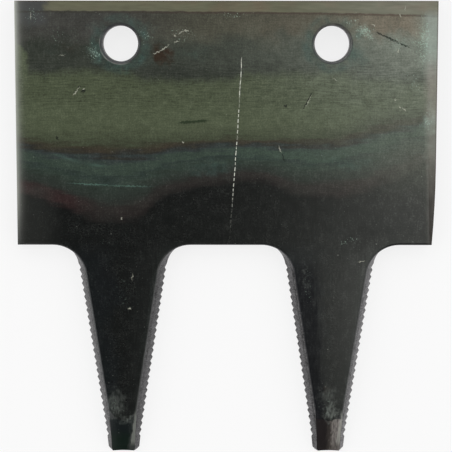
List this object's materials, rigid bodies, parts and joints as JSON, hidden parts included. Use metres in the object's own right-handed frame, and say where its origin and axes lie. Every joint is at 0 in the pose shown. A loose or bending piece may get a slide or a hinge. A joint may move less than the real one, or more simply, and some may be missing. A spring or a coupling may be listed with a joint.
{
  "type": "double guard finger",
  "caption": "Flat steel guard plate for a mower cutter bar, with bolt holes along its rear edge and tapered, bevelled fingers with saw-toothed edges at the front.",
  "frame": {"origin": "midway between the centres of the bolt holes, on the flat underside", "axes": "+X along the row of bolt holes, -Y towards the finger tips, +Z out of the upper face, where the fingers are bevelled"},
  "size_m": [0.152, 0.1656, 0.006],
  "materials": {
    "tempered_steel": "dark, smooth and slightly oily, with olive, blue-green and purple temper colours across the plate"
  },
  "bodies": {
    "root": {"double_guard_finger": "tempered_steel"}
  },
  "joints": []
}
